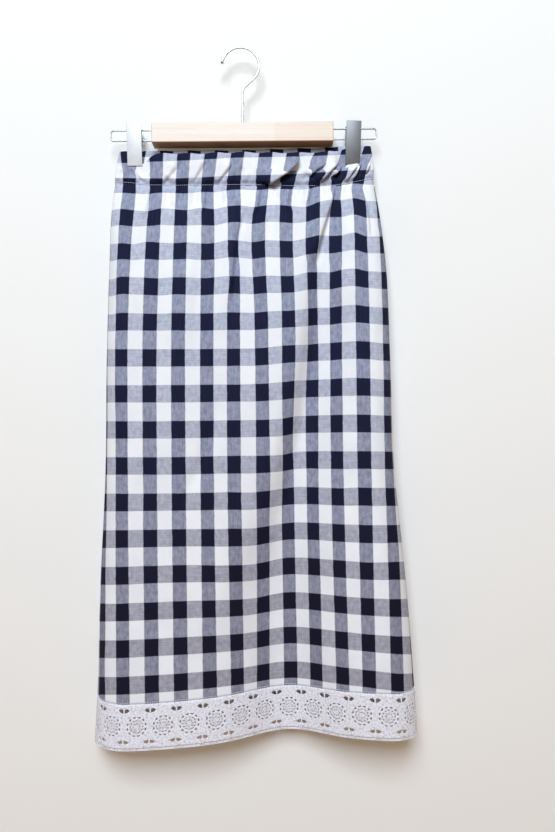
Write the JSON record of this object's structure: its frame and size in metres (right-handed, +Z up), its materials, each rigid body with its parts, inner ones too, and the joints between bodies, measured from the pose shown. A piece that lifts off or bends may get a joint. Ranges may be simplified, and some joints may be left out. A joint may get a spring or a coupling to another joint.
{
  "type": "midi skirt on clip hanger",
  "caption": "Gingham midi skirt with a wide elastic waist and a lace hem, hanging by its waist from a wooden hanger with metal clips.",
  "frame": {"origin": "inner face of the hook's crown, where a rail, peg or wall hook carries the hanger", "axes": "+Z up along the hanging skirt, -Y out of its front, +X to the right as seen from the front"},
  "size_m": [0.4453, 0.0731, 0.9663],
  "materials": {
    "gingham": "matt woven cotton in navy and white checks",
    "gingham_casing": "the same cotton, double, over elastic",
    "lace": "matt white cotton lace",
    "pale_wood": "pale wood with a satin clear coat",
    "hook_steel": "polished plated wire",
    "loop_steel": "polished plated wire",
    "clip_steel": "satin plated sheet",
    "slide_steel": "satin plated steel"
  },
  "bodies": {
    "root": {"skirt_front": "gingham", "skirt_back": "gingham", "casing_front": "gingham_casing", "casing_back": "gingham_casing", "lace_front": "lace", "lace_back": "lace", "hanger_bar": "pale_wood", "hanger_hook": "hook_steel", "hook_bead": "hook_steel", "loop_left": "loop_steel", "loop_right": "loop_steel", "clip_left_front": "clip_steel", "clip_left_back": "clip_steel", "clip_left_slide": "slide_steel", "clip_right_front": "clip_steel", "clip_right_back": "clip_steel", "clip_right_slide": "slide_steel"}
  },
  "joints": []
}
